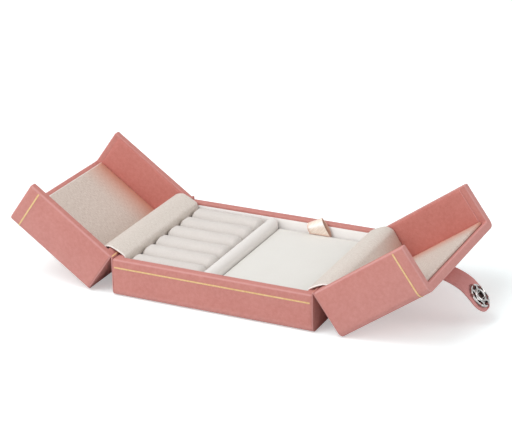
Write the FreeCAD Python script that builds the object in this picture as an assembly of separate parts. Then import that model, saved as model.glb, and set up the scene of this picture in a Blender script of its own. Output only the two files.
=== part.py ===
import FreeCAD, Part
import math
import os

os.makedirs("parts", exist_ok=True)
Vector = FreeCAD.Vector

# Outside of the box, in millimetres. X runs side to side, Y front to back, Z up from the table
box_length = 98.0
box_depth = 80.0
base_height = 17.9
lid_depth = 22.8
meeting_gap = 0.4

# Card boards and the covers and linings glued over them
board = 2.8
floor_board = 2.4
cover = 0.6
facing = 0.6
sheet_margin = 1.0
turn_in = 1.4
long_edge_round = 3.0
rim_round = 0.5
round_share = 0.9
glue_gap = 0.05

# Fold lines along the two sides, on which the lids swing
hinge_rise = 0.8
lid_rest_gap = 0.1

# Soft linings that pass over the fold lines
hinge_lining = 0.8
lining_side_gap = 0.5
lining_base_leg = 4.0
lining_edge_rise = 0.3
lining_crest = 0.6
lining_bulge = 0.3
lining_standoff = 2.6
lining_foot = 1.4

# Gold foil lines
foil = 0.08
gold_width = 0.7
base_gold_drop = 3.6
lid_gold_setback = 5.2
gold_end_gap = 0.8

# Lid linings
lid_lining = 2.0
lining_setback = 2.5
facing_setback = 3.2
soft_gap = 0.3

# Padded velvet rolls with slots between them, and the bar beside them
roll_count = 6
roll_gap = 0.3
roll_height = 10.0
roll_below_rim = 0.6
roll_end_round = 3.2
bar_width = 5.6
bar_centre = -4.5
bar_below_rim = 0.9

# Lift-out pad and the space under it
pad_below_rim = 5.3
pad_cushion = 3.2
pad_board = 1.6
pad_round = 1.0
pad_seat = 0.2
ledge_width = 3.0
compartment_cloth = 0.5
ribbon = 0.5
ribbon_width = 11.0
ribbon_from_bar = 15.4
ribbon_loop = 2.0
ribbon_rise = 7.4
ribbon_low_side = 3.4
ribbon_lean = 4.8
ribbon_gap = 0.1

# Closing strap with its sewn snap
strap_width = 14.0
strap = 1.2
strap_lift = 0.15
strap_root_length = 16.0
strap_setback = 12.2
strap_root_degrees = 44.0
strap_middle_length = 12.3
strap_middle_degrees = 24.0
strap_knee_degrees = 9.0
strap_end_length = 13.7
strap_end_degrees = 12.0
strap_joint_gap = 0.3
strap_root_gap = 0.7
strap_flat_degrees = 44.5
snap_radius = 5.7
snap_flange = 0.6
snap_rim = 0.7
snap_rim_height = 1.0
snap_hub_radius = 3.2
snap_hub_height = 1.5
snap_bore = 2.2
snap_holes = 6
snap_hole_width = 1.1
snap_hole_length = 2.0
snap_edge = 1.0
stud_flange = 0.4
stud_height = 1.5
stud_head = 1.3
stud_neck = 1.0
spring_wire = 0.2

# Places that follow from those sizes
wall = cover + board + facing
hinge_x = box_length / 2
hinge_z = base_height + hinge_rise
half_depth = box_depth / 2
inner_x = hinge_x - wall
inner_y = half_depth - wall
floor_top = cover + floor_board
lid_length = hinge_x - meeting_gap / 2
lid_start = cover + glue_gap
lid_floor = lid_depth - cover - board
lid_round = min(long_edge_round, cover + round_share * board)
base_round = min(long_edge_round, cover + round_share * floor_board)
open_tilt = math.degrees(math.acos((hinge_z - lid_rest_gap) / lid_depth))
bar_left = bar_centre - bar_width / 2
bar_right = bar_centre + bar_width / 2
lining_x = inner_x - glue_gap - hinge_lining / 2
pad_top = base_height - pad_below_rim
pad_bottom = pad_top - pad_cushion - pad_board
pad_left = bar_right + soft_gap
bay_right = lining_x - hinge_lining / 2 - soft_gap
pad_right = inner_x - lining_standoff - hinge_lining / 2 - soft_gap
pad_back = inner_y - soft_gap - ribbon - 2 * ribbon_gap - soft_gap
roll_top = base_height - roll_below_rim
roll_pitch = 2 * inner_y / roll_count


def save(name, shape):
    shape.exportStep("parts/" + name + ".step")


def box(x0, x1, y0, y1, z0, z1):
    return Part.makeBox(x1 - x0, y1 - y0, z1 - z0, Vector(x0, y0, z0))


def line(a, b):
    return Part.LineSegment(a, b).toShape()


def arc(a, through, b):
    return Part.Arc(a, through, b).toShape()


def face_of(edges):
    return Part.Face(Part.Wire(edges))


# Cross-section in Y and Z with its two lower corners rounded, drawn out along X
def trough_block(x0, x1, half_y, z0, z1, radius):
    edges = []
    bend = radius * (1 - math.sqrt(0.5))
    corners = []
    for side in (1, -1):
        upper = Vector(x0, side * half_y, z0 + radius)
        through = Vector(x0, side * (half_y - bend), z0 + bend)
        lower = Vector(x0, side * (half_y - radius), z0)
        edges.append(arc(upper, through, lower))
        corners.append((Vector(x0, side * half_y, z1), upper, lower))
    (right_top, right_upper, right_lower), (left_top, left_upper, left_lower) = corners
    right_side = line(right_top, right_upper)
    bottom = line(right_lower, left_lower)
    left_side = line(left_upper, left_top)
    top = line(left_top, right_top)
    outline = [right_side, edges[0], bottom, edges[1], left_side, top]
    return face_of(Part.__sortEdges__(outline)).extrude(Vector(x1 - x0, 0, 0))


# Bar with straight sides and a half-round top, drawn out along the direction given
def round_topped(start, across, along, width, z0, z1):
    half = width / 2
    low_a = start - across * half + Vector(0, 0, z0)
    low_b = start + across * half + Vector(0, 0, z0)
    high_a = start - across * half + Vector(0, 0, z1 - half)
    high_b = start + across * half + Vector(0, 0, z1 - half)
    crown = start + Vector(0, 0, z1)
    shoulder = half * math.sqrt(0.5)
    rise = Vector(0, 0, z1 - half + shoulder)
    arcs = [
        arc(high_b, start + across * shoulder + rise, crown),
        arc(crown, start - across * shoulder + rise, high_a),
    ]
    edges = [line(low_a, low_b), line(low_b, high_b), arcs[0], arcs[1], line(high_a, low_a)]
    return face_of(edges).extrude(along)


# Lid frame: X runs from the fold line to the free edge, Z is zero at the rim and falls to the panel
def place_on_lid(shape, side):
    placed = shape.copy()
    placed.rotate(Vector(0, 0, 0), Vector(0, 1, 0), -open_tilt)
    placed.translate(Vector(hinge_x, 0, hinge_z))
    if side < 0:
        placed.rotate(Vector(0, 0, 0), Vector(0, 0, 1), 180)
    return placed


def lid_point(along, down):
    tilt = math.radians(open_tilt)
    x = hinge_x + along * math.cos(tilt) + down * math.sin(tilt)
    z = hinge_z + along * math.sin(tilt) - down * math.cos(tilt)
    return Vector(x, 0, z)


# Base tray. The cover is turned under it, and a sheet fills the space left in the middle
def bottom_recess():
    half_x = hinge_x - cover - sheet_margin
    half_y = half_depth - base_round - sheet_margin
    return box(-half_x, half_x, -half_y, half_y, 0, cover)


def base_boards():
    out_x = hinge_x - cover
    out_y = half_depth - cover
    wall_top = base_height - cover
    save("base_bottom_sheet", bottom_recess())
    floor = trough_block(-out_x, out_x, out_y, cover, floor_top, base_round - cover)
    save("base_floor_board", floor)
    for name, side in (("base_front_wall", -1), ("base_back_wall", 1)):
        near, far = sorted((side * (out_y - board), side * out_y))
        save(name, box(-out_x, out_x, near, far, floor_top, wall_top))
    for name, side in (("base_left_wall", -1), ("base_right_wall", 1)):
        near, far = sorted((side * (out_x - board), side * out_x))
        save(name, box(near, far, -out_y + board, out_y - board, floor_top, wall_top))


# Flat frame of the inner layer, from the lining's outside to its inside
def inner_ring(z0, z1):
    outer = box(-inner_x - facing, inner_x + facing, -inner_y - facing, inner_y + facing, z0, z1)
    return outer.cut(box(-inner_x, inner_x, -inner_y, inner_y, z0, z1))


def base_cover():
    out_x = hinge_x - cover
    block = trough_block(-out_x, out_x, half_depth, 0, base_height, base_round)
    rims = []
    for edge in block.Edges:
        at_top = all(abs(v.Z - base_height) < 1e-6 for v in edge.Vertexes)
        along_x = abs(edge.Vertexes[0].Y - edge.Vertexes[1].Y) < 1e-6
        if at_top and along_x:
            rims.append(edge)
    block = block.makeFillet(min(rim_round, round_share * cover), rims)
    out_y = half_depth - cover
    core = trough_block(-out_x, out_x, out_y, cover, base_height - cover, base_round - cover)
    mouth = box(-inner_x, inner_x, -inner_y, inner_y, base_height - cover, base_height)
    cap = block.cut(core).cut(mouth).cut(bottom_recess())
    lip = inner_ring(base_height - turn_in, base_height - cover)
    save("base_cover", cap.fuse(lip).removeSplitter())
    save("base_liner", inner_ring(floor_top, base_height - turn_in))


def base_gold_line():
    z1 = base_height - base_gold_drop
    z0 = z1 - gold_width
    half = hinge_x - cover - gold_end_gap
    front = box(-half, half, -half_depth - foil, -half_depth, z0, z1)
    back = box(-half, half, half_depth, half_depth + foil, z0, z1)
    save("base_gold_line", Part.makeCompound([front, back]))


# Cover that runs up each side of the base, folds over and runs down the end of the lid
def hinge_covers():
    base_leg = trough_block(hinge_x - cover, hinge_x, half_depth, 0, hinge_z, base_round)
    lid_leg = place_on_lid(trough_block(0, cover, half_depth, -lid_depth, 0, lid_round), 1)
    fold_start = Vector(hinge_x, -half_depth, hinge_z)
    fold = Part.makeCylinder(cover, box_depth, fold_start, Vector(0, 1, 0))
    right = base_leg.fuse([fold, lid_leg]).removeSplitter()
    left = right.copy()
    left.rotate(Vector(0, 0, 0), Vector(0, 0, 1), 180)
    save("right_hinge_cover", right)
    save("left_hinge_cover", left)


# Point beside the middle of a chord in X and Z, on its upper side
def bulged_middle(a, b, bulge):
    chord = b - a
    return (a + b) * 0.5 + Vector(-chord.z, 0, chord.x) * (bulge / chord.Length)


# Lining that hangs inside the base, humps over both rims and runs down inside the lid
def hinge_linings():
    half = inner_y - lining_side_gap
    foot = Vector(lining_x, 0, base_height - lining_base_leg)
    edge = Vector(lining_x, 0, base_height + lining_edge_rise)
    crest = lid_point(wall, -lining_crest)
    shoulder = lid_point(wall + lining_standoff, lining_standoff)
    end = lid_point(wall + lining_foot, lid_floor - lid_lining - soft_gap - hinge_lining / 2)
    rise = bulged_middle(edge, crest, lining_bulge)
    over = bulged_middle(crest, shoulder, lining_bulge)
    path = [line(foot, edge), arc(edge, rise, crest), arc(crest, over, shoulder), line(shoulder, end)]
    outline = Part.Wire(path).makeOffset2D(hinge_lining / 2)
    section = Part.Face(outline)
    section.translate(Vector(0, -half, 0))
    right = section.extrude(Vector(0, 2 * half, 0))
    left = right.copy()
    left.rotate(Vector(0, 0, 0), Vector(0, 0, 1), 180)
    save("right_hinge_lining", right)
    save("left_hinge_lining", left)


# The two lids are alike: a panel, front, back and end walls, with no wall at the free edge
def lid(name, side):
    out_y = half_depth - cover
    free_end = lid_length - cover
    panel_z = -lid_depth + cover
    inner_z = -lid_floor

    panel = trough_block(lid_start, free_end, out_y, panel_z, inner_z, lid_round - cover)
    save(name + "_panel", place_on_lid(panel, side))
    for wall_name, world_y in (("front", -1), ("back", 1)):
        local_y = world_y * side
        near, far = sorted((local_y * (out_y - board), local_y * out_y))
        board_solid = box(lid_start, free_end, near, far, inner_z, -cover)
        save(name + "_" + wall_name + "_wall", place_on_lid(board_solid, side))
        near, far = sorted((local_y * inner_y, local_y * (inner_y + facing)))
        sheet = box(wall, lid_length - facing_setback, near, far, inner_z, -cover)
        save(name + "_" + wall_name + "_facing", place_on_lid(sheet, side))
    end_wall = box(lid_start, wall, -out_y + board, out_y - board, inner_z, -cover)
    save(name + "_end_wall", place_on_lid(end_wall, side))

    block = trough_block(lid_start, lid_length, half_depth, -lid_depth, 0, lid_round)
    core = trough_block(lid_start, free_end, out_y, panel_z, -cover, lid_round - cover)
    mouth = box(wall, lid_length, -inner_y, inner_y, -lid_depth + wall, 0)
    save(name + "_cover", place_on_lid(block.cut(core).cut(mouth), side))

    soft_y = inner_y - soft_gap
    soft_end = lid_length - lining_setback
    soft = box(wall + soft_gap, soft_end, -soft_y, soft_y, inner_z, inner_z + lid_lining)
    save(name + "_lining", place_on_lid(soft, side))

    gold_end = lid_length - lid_gold_setback
    gold_start = gold_end - gold_width
    outer = trough_block(
        gold_start, gold_end, half_depth + foil, -lid_depth - foil, -gold_end_gap, lid_round + foil
    )
    save(name + "_gold_line", place_on_lid(outer.cut(block), side))


# Rolls on their bed, with the round bar at their right
def rolls_and_bar():
    left = -lining_x + hinge_lining / 2 + soft_gap
    right = bar_left - soft_gap
    bed_top = roll_top - roll_height
    save("roll_bed", box(left, right, -inner_y + soft_gap, inner_y - soft_gap, floor_top, bed_top))
    end = min(roll_end_round, round_share * roll_height / 2)
    bend = end * (1 - math.sqrt(0.5))
    for index in range(roll_count):
        centre = -inner_y + roll_pitch * (index + 0.5)
        start = Vector(left, centre, 0)
        roll = round_topped(
            start, Vector(0, 1, 0), Vector(right - left, 0, 0), roll_pitch - roll_gap, bed_top, roll_top
        )
        y0 = centre - roll_pitch / 2
        low_left = Vector(left, y0, bed_top)
        low_right = Vector(right, y0, bed_top)
        up_right = Vector(right, y0, roll_top - end)
        top_right = Vector(right - end, y0, roll_top)
        top_left = Vector(left + end, y0, roll_top)
        up_left = Vector(left, y0, roll_top - end)
        profile = [
            line(low_left, low_right),
            line(low_right, up_right),
            arc(up_right, Vector(right - bend, y0, roll_top - bend), top_right),
            line(top_right, top_left),
            arc(top_left, Vector(left + bend, y0, roll_top - bend), up_left),
            line(up_left, low_left),
        ]
        side_view = face_of(profile).extrude(Vector(0, roll_pitch, 0))
        save("velvet_roll_" + str(index + 1), roll.common(side_view))
    bar = round_topped(
        Vector(bar_centre, -inner_y + soft_gap, 0),
        Vector(1, 0, 0),
        Vector(0, 2 * (inner_y - soft_gap), 0),
        bar_width,
        floor_top,
        base_height - bar_below_rim,
    )
    save("divider_bar", bar)


# Lift-out pad on two ledges, with a ribbon to pull it by and a cloth-lined space below
def pad_and_compartment():
    front = -inner_y + soft_gap
    ledge_top = pad_bottom - pad_seat
    for name, y0 in (("pad_front_ledge", front), ("pad_back_ledge", -front - ledge_width)):
        save(name, box(pad_left, bay_right, y0, y0 + ledge_width, floor_top, ledge_top))
    cloth_y = -front - ledge_width - soft_gap
    cloth = box(pad_left, bay_right, -cloth_y, cloth_y, floor_top, floor_top + compartment_cloth)
    save("compartment_cloth", cloth)

    card_top = pad_bottom + pad_board
    save("pad_board", box(pad_left, pad_right, front, pad_back, pad_bottom, card_top))
    cushion = box(pad_left, pad_right, front, pad_back, card_top, pad_top)
    upper = [e for e in cushion.Edges if all(abs(v.Z - pad_top) < 1e-6 for v in e.Vertexes)]
    save("pad_cushion", cushion.makeFillet(min(pad_round, round_share * pad_cushion / 2), upper))

    left = pad_left + ribbon_from_bar
    right = left + ribbon_width
    leg_y = pad_back + ribbon_gap
    low = pad_top + ribbon_gap
    leg = box(left, right, leg_y, leg_y + ribbon, pad_bottom, low + ribbon)
    corners = [
        Vector(left, 0, low),
        Vector(right, 0, low),
        Vector(right - ribbon_lean, 0, low + ribbon_rise),
        Vector(left, 0, low + ribbon_low_side),
    ]
    loop = Part.Face(Part.makePolygon(corners + [corners[0]]))
    loop.translate(Vector(0, leg_y + ribbon - ribbon_loop, 0))
    loop = loop.extrude(Vector(0, ribbon_loop, 0))
    save("ribbon_pull_tab", loop.fuse(leg).removeSplitter())


# A length of strap in the lid frame, as an arc that starts at a point with a heading
class StrapArc:
    def __init__(self, along, down, heading, curl, length):
        self.start = (along, down)
        self.heading = math.radians(heading)
        self.radius = length / math.radians(curl)

    def point(self, distance, out):
        turn = self.heading + distance / self.radius
        reach = self.radius - out
        along = self.start[0] - self.radius * math.sin(self.heading) + reach * math.sin(turn)
        down = self.start[1] + self.radius * math.cos(self.heading) - reach * math.cos(turn)
        return along, down

    def at(self, distance, out):
        along, down = self.point(distance, out)
        return Vector(along, 0, -down)

    def solid(self, first, last):
        half = strap / 2
        middle = (first + last) / 2
        edges = [
            arc(self.at(first, half), self.at(middle, half), self.at(last, half)),
            line(self.at(last, half), self.at(last, -half)),
            arc(self.at(last, -half), self.at(middle, -half), self.at(first, -half)),
            line(self.at(first, -half), self.at(first, half)),
        ]
        section = face_of(edges)
        section.translate(Vector(0, -strap_width / 2, 0))
        return section.extrude(Vector(0, strap_width, 0))


# Flat disc parts are drawn standing on the XY plane, then set on their seat facing outwards
def set_on(shape, seat, outwards):
    placed = shape.copy()
    placed.Placement = FreeCAD.Placement(seat, FreeCAD.Rotation(Vector(0, 0, 1), outwards))
    return placed


def sewing_slots(height):
    slots = []
    reach = (snap_hub_radius + snap_radius - snap_rim) / 2
    for index in range(snap_holes):
        slot = box(
            reach - snap_hole_width / 2,
            reach + snap_hole_width / 2,
            -snap_hole_length / 2,
            snap_hole_length / 2,
            0,
            height,
        )
        slot.rotate(Vector(0, 0, 0), Vector(0, 0, 1), 360 / snap_holes * (index + 0.5))
        slots.append(slot)
    return slots


def snap_socket():
    disc = Part.makeCylinder(snap_radius, snap_flange)
    rim = Part.makeCylinder(snap_radius, snap_rim_height)
    rim = rim.cut(Part.makeCylinder(snap_radius - snap_rim, snap_rim_height))
    hub = Part.makeCylinder(snap_hub_radius, snap_hub_height)
    bore = Part.makeCylinder(snap_bore, snap_hub_height)
    return disc.fuse([rim, hub]).cut(bore).cut(sewing_slots(snap_flange)).removeSplitter()


def snap_spring():
    wires = []
    reach = snap_bore - spring_wire
    half = math.sqrt(snap_bore ** 2 - reach ** 2)
    for side in (-1, 1):
        start = Vector(-half, side * (reach - spring_wire), snap_hub_height / 2)
        wires.append(Part.makeCylinder(spring_wire, 2 * half, start, Vector(1, 0, 0)))
    return Part.makeCompound(wires)


def snap_stud():
    disc = Part.makeCylinder(snap_radius, stud_flange).cut(sewing_slots(stud_flange))
    head_z = stud_height - stud_neck / 2
    neck = Part.makeCylinder(stud_neck, head_z)
    head = Part.makeCone(stud_head, stud_neck, stud_height - head_z, Vector(0, 0, head_z))
    return disc.fuse([neck, head]).removeSplitter()


def turned(point, pivot, degrees):
    angle = math.radians(degrees)
    along = point[0] - pivot[0]
    down = point[1] - pivot[1]
    new_along = pivot[0] + along * math.cos(angle) + down * math.sin(angle)
    new_down = pivot[1] - along * math.sin(angle) + down * math.cos(angle)
    return new_along, new_down


def closing_strap():
    bend = lid_length - strap_setback
    bend_down = lid_depth + strap_lift + strap / 2
    root_end = bend - strap_root_gap
    root_start = root_end - strap_root_length
    half = strap_width / 2
    root = box(root_start, root_end, -half, half, -lid_depth - strap, -lid_depth)
    save("strap_root", place_on_lid(root, 1))

    middle = StrapArc(bend, bend_down, strap_root_degrees, strap_middle_degrees, strap_middle_length)
    middle_last = strap_middle_length - strap_joint_gap
    save("strap_middle", place_on_lid(middle.solid(strap_joint_gap, middle_last), 1))

    knee = middle.point(strap_middle_length, 0)
    end_heading = strap_root_degrees + strap_middle_degrees + strap_knee_degrees
    end = StrapArc(knee[0], knee[1], end_heading, strap_end_degrees, strap_end_length)
    flap = end.solid(strap_joint_gap, strap_end_length)
    snap_at = strap_end_length - snap_radius - snap_edge
    snap_heading = end_heading + strap_end_degrees * snap_at / strap_end_length
    along_strap = Vector(math.cos(math.radians(snap_heading)), 0, -math.sin(math.radians(snap_heading)))
    inwards = Vector(math.sin(math.radians(snap_heading)), 0, math.cos(math.radians(snap_heading)))
    tip = Part.makeCylinder(half, strap_end_length, end.at(snap_at, 0) - inwards * snap_at, inwards)
    square = box(-strap_end_length, 0, -half, half, -snap_at, strap_end_length)
    square.Placement = FreeCAD.Placement(
        end.at(snap_at, 0), FreeCAD.Rotation(along_strap, Vector(0, 1, 0), inwards, "XYZ")
    )
    save("strap_end", place_on_lid(flap.common(tip.fuse(square)), 1))

    seat = end.at(snap_at, -strap / 2 - glue_gap)
    save("snap_socket", place_on_lid(set_on(snap_socket(), seat, inwards), 1))
    save("snap_spring", place_on_lid(set_on(snap_spring(), seat, inwards), 1))

    flat_knee = snap_heading - strap_flat_degrees
    face = end.point(snap_at, -strap / 2 - glue_gap)
    fastened = turned(turned(face, knee, flat_knee), (bend, bend_down), strap_flat_degrees)
    stud_along = box_length - fastened[0]
    stud_seat = Vector(stud_along, 0, -lid_depth - foil)
    save("snap_stud", place_on_lid(set_on(snap_stud(), stud_seat, Vector(0, 0, -1)), -1))

    print("strap bend at", lid_point(bend, bend_down))
    print("strap knee at", lid_point(knee[0], knee[1]))
    print("strap turns flat by", strap_flat_degrees, "and its end by", flat_knee)
    print("room between socket seat and left lid when fastened", fastened[1] - lid_depth)
    print("stud from the left lid's free edge", lid_length - stud_along)


base_boards()
base_cover()
base_gold_line()
hinge_covers()
hinge_linings()
lid("left_lid", -1)
lid("right_lid", 1)
rolls_and_bar()
pad_and_compartment()
closing_strap()
print("lids open at", open_tilt, "degrees, fold lines at", hinge_x, hinge_z)
print("pad top", pad_top, "pad bottom", pad_bottom, "from", pad_left, "to", pad_right, "back", pad_back)
print("lid lining face", lid_floor - lid_lining, "inside the rim")
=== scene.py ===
import bmesh
import bpy
from math import atan2, cos, hypot, pi, radians, sin, sqrt
from mathutils import Matrix, Vector, noise


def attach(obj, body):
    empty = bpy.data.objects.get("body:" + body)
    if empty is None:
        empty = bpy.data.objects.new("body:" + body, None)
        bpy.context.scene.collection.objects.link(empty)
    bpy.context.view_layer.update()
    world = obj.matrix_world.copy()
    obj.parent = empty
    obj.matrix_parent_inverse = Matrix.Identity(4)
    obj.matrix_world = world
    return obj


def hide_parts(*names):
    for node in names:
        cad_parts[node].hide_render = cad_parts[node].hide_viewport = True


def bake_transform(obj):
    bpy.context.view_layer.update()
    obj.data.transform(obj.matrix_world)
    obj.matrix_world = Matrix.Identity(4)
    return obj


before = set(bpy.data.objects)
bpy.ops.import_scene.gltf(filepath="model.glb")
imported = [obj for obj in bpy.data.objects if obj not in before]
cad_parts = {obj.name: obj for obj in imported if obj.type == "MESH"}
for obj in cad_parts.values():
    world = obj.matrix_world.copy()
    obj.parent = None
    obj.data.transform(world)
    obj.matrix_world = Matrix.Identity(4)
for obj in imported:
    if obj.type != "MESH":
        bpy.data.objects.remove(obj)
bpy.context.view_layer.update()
scene = bpy.context.scene
mm = 0.001  # pieces are drawn in millimetres and stored in metres
quarter = pi / 2
softAngle = 60  # padded and round pieces shade smooth up to this angle

# sizes shared by several pieces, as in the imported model
box = {"halfX": 49.0, "halfY": 40.0, "rim": 17.9, "cloth": 0.6, "innerX": 45.0, "innerY": 36.0,
       "floor": 3.0, "edgeRound": 2.76}
fold = {"x": 49.0, "z": 18.7, "tilt": radians(35.3345)}
lid = {"start": 0.65, "length": 48.8, "depth": 22.8, "edgeRound": 3.0}
lids = (("left", -1), ("right", 1))
edgeWearAndSheen = {"foot": 0.25, "lip": 0.4, "reach": 1.0}  # how pale the cloth is at its edges: rubbed wear, partly a painted sheen highlight; at the foot a painted floor bounce


def lidPlace(side):  # from a lid's own frame to the box's
    c, s = cos(fold["tilt"]), sin(fold["tilt"])

    def place(along, y, down):
        return side * (fold["x"] + along * c + down * s), y, fold["z"] + along * s - down * c
    return place


def lidPoint(along, down):  # the same in X and Z, for the right lid
    x, _, z = lidPlace(1)(along, 0, down)
    return x, z


# finishes
def tone(red, green, blue):  # screen colour, 0 to 255, to a shader colour
    def straight(value):
        value /= 255
        return value / 12.92 if value < 0.04045 else ((value + 0.055) / 1.055) ** 2.4
    return straight(red), straight(green), straight(blue), 1.0


def newFinish(name, **constants):
    finish = bpy.data.materials.new(name)
    finish.use_nodes = True
    tree = finish.node_tree
    tree.nodes.clear()
    shader = tree.nodes.new("ShaderNodeBsdfPrincipled")
    result = tree.nodes.new("ShaderNodeOutputMaterial")
    tree.links.new(shader.outputs[0], result.inputs["Surface"])
    for label, value in constants.items():
        shader.inputs[label.replace("_", " ")].default_value = value
    return finish, tree, shader


def addNode(tree, kind, inputs=None, **props):
    node = tree.nodes.new(kind)
    for label, value in props.items():
        setattr(node, label, value)
    for label, value in (inputs or {}).items():
        if isinstance(value, bpy.types.NodeSocket):
            tree.links.new(value, node.inputs[label])
        else:
            node.inputs[label].default_value = value
    return node


def maths(tree, operation, first, second=0.0):
    return addNode(tree, "ShaderNodeMath", {0: first, 1: second}, operation=operation).outputs[0]


def plus(tree, first, second):
    return maths(tree, "ADD", first, second)


def times(tree, first, second):
    return maths(tree, "MULTIPLY", first, second)


def coordsOf(tree, source="Object", scale=(1, 1, 1)):
    place = addNode(tree, "ShaderNodeTexCoord")
    return addNode(tree, "ShaderNodeMapping", {"Vector": place.outputs[source], "Scale": scale}).outputs[0]


def grain(tree, coords, scale, detail=2.0, rough=0.5, low=0.3, high=0.7, toLow=0.0, toHigh=1.0):
    speck = addNode(tree, "ShaderNodeTexNoise",
                    {"Vector": coords, "Scale": scale, "Detail": detail, "Roughness": rough})
    spread = {"Value": speck.outputs[0], "From Min": low, "From Max": high, "To Min": toLow, "To Max": toHigh}
    return addNode(tree, "ShaderNodeMapRange", spread).outputs[0]


def layered(tree, colour, *layers):  # each layer is a colour, the mask that lets it through and its share
    for over, mask, share in layers:
        inputs = {0: times(tree, mask, share), 6: colour, 7: over}
        colour = addNode(tree, "ShaderNodeMix", inputs, data_type="RGBA").outputs[2]
    return colour


def marked(tree, label):  # a value stored on the piece's points
    return addNode(tree, "ShaderNodeAttribute", attribute_name=label).outputs["Fac"]


def dressed(finish, shader, colour, rough, height, strength, distance):
    tree = finish.node_tree
    bump = addNode(tree, "ShaderNodeBump", {"Height": height, "Strength": strength, "Distance": distance})
    for label, source in (("Base Color", colour), ("Roughness", rough), ("Normal", bump.outputs[0])):
        tree.links.new(source, shader.inputs[label])
    return finish


def suedeFinish(name, deep, body, pale, edge):
    finish, tree, shader = newFinish(name, Sheen_Weight=0.22, Sheen_Roughness=0.45,
                                     Sheen_Tint=tone(240, 205, 205), Specular_IOR_Level=0.18)
    coords = coordsOf(tree)
    cloud = grain(tree, coords, 75, 4.0, 0.6, 0.3, 0.72)
    nap = grain(tree, coords, 620, 3.0, 0.65, 0.32, 0.68)
    fine = grain(tree, coords, 4200)
    # the edge tone on the pale edge mark is rubbed wear, partly a painted sheen highlight
    colour = layered(tree, body, (deep, cloud, 0.35), (pale, nap, 0.5), (deep, fine, 0.34),
                     (edge, marked(tree, "wearAndSheen"), 0.55))
    rough = grain(tree, coords, 620, 2.0, 0.5, 0.2, 0.8, 0.8, 0.98)
    return dressed(finish, shader, colour, rough, plus(tree, times(tree, nap, 0.6), fine), 0.35, 0.00009)


def linenFinish(name, dark, body, pale):
    finish, tree, shader = newFinish(name, Sheen_Weight=0.12, Sheen_Roughness=0.5, Specular_IOR_Level=0.2)
    warp, weft = (grain(tree, coordsOf(tree, "UV", scale), 1, 2.0, 0.6, 0.28, 0.72)
                  for scale in ((3000, 600, 1), (600, 3000, 1)))
    wave = {"Vector": coordsOf(tree, "UV"), "Scale": 700.0, "Distortion": 1.2, "Detail": 1.0,
            "Detail Scale": 40.0}
    threads = [addNode(tree, "ShaderNodeTexWave", wave, bands_direction=way) for way in "XY"]
    weave = times(tree, *[thread.outputs["Fac"] for thread in threads])
    # the orange tone is painted pink bounce light and shade near the suede walls; the near-white tone on the
    # cut mark is the white cut edge of the card, and at the left lid lining's free end a painted highlight
    colour = layered(tree, body, (dark, warp, 0.85), (pale, weft, 0.75), (pale, weave, 0.45),
                     (tone(208, 142, 116), marked(tree, "paintedBounceShade"), 0.95),
                     (tone(250, 248, 244), marked(tree, "cut"), 1.0))
    rough = plus(tree, times(tree, weave, -0.15), 0.95)
    return dressed(finish, shader, colour, rough, plus(tree, plus(tree, warp, weft), weave), 0.4, 0.00008)


def velvetFinish(name, shade, body, pale):
    finish, tree, shader = newFinish(name, Sheen_Weight=0.3, Sheen_Roughness=0.35,
                                     Sheen_Tint=tone(255, 252, 248), Specular_IOR_Level=0.12)
    coords = coordsOf(tree)
    cloud = grain(tree, coords, 110, 3.0, 0.55)
    pile = grain(tree, coords, 1500, 2.0, 0.6)
    height = plus(tree, pile, grain(tree, coords, 6500, 1.0))
    colour = layered(tree, body, (shade, cloud, 0.3), (pale, pile, 0.35))
    rough = grain(tree, coords, 1500, 1.0, 0.5, 0.2, 0.8, 0.82, 0.98)
    return dressed(finish, shader, colour, rough, height, 0.3, 0.00007)


def paperFinish(name, dark, body, pale, speckle=900):
    finish, tree, shader = newFinish(name, Specular_IOR_Level=0.2, Sheen_Weight=0.08)
    coords = coordsOf(tree)
    fibre = grain(tree, coords, speckle, 4.0, 0.65)
    colour = layered(tree, body, (pale, fibre, 0.5), (dark, grain(tree, coords, 90), 0.4))
    rough = grain(tree, coords, speckle, 1.0, 0.5, 0.2, 0.8, 0.8, 0.96)
    return dressed(finish, shader, colour, rough, fibre, 0.3, 0.00008)


def satinFinish(name, shade, body, pale):
    finish, tree, shader = newFinish(name, Sheen_Weight=0.15, Specular_IOR_Level=0.85, Anisotropic=0.5)
    ribs = grain(tree, coordsOf(tree, "UV", (180, 2600, 1)), 1, 1.0)
    cloud = grain(tree, coordsOf(tree, "UV", (120, 120, 1)), 1)
    # the tan tone is painted shade with pink bounce light; the near-white tone is a painted satin highlight
    colour = layered(tree, body, (pale, ribs, 0.3), (shade, cloud, 0.3),
                     (tone(214, 160, 138), marked(tree, "paintedBounceShade"), 0.8),
                     (tone(255, 254, 252), marked(tree, "paintedGleam"), 0.9))
    return dressed(finish, shader, colour, plus(tree, times(tree, ribs, 0.12), 0.2), ribs, 0.12, 0.00004)


def metalFinish(name, body, pale, smooth, dull, speckle):
    finish, tree, shader = newFinish(name, Metallic=1.0)
    coords = coordsOf(tree)
    # the mask mixes wear on the gold foil; on the snap the dark body tone between pale patches is a painted
    # dark reflection
    smearAndReflection = grain(tree, coords, speckle, 3.0, 0.6)
    rough = grain(tree, coords, speckle * 1.7, toLow=smooth, toHigh=dull)
    return dressed(finish, shader, layered(tree, body, (pale, smearAndReflection, 1.0)), rough, smearAndReflection, 0.08, 0.00003)


pinkSuede = suedeFinish("pinkSuede", tone(182, 109, 102), tone(203, 135, 126), tone(218, 157, 149),
                        tone(217, 165, 162))
# a more saturated copy of the pink suede, for the lid facings: painted pink bounce light inside the lids
paintedBounceSuede = suedeFinish("paintedBounceSuede", tone(185, 107, 98), tone(208, 133, 123), tone(221, 153, 144),
                         tone(228, 168, 162))
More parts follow.
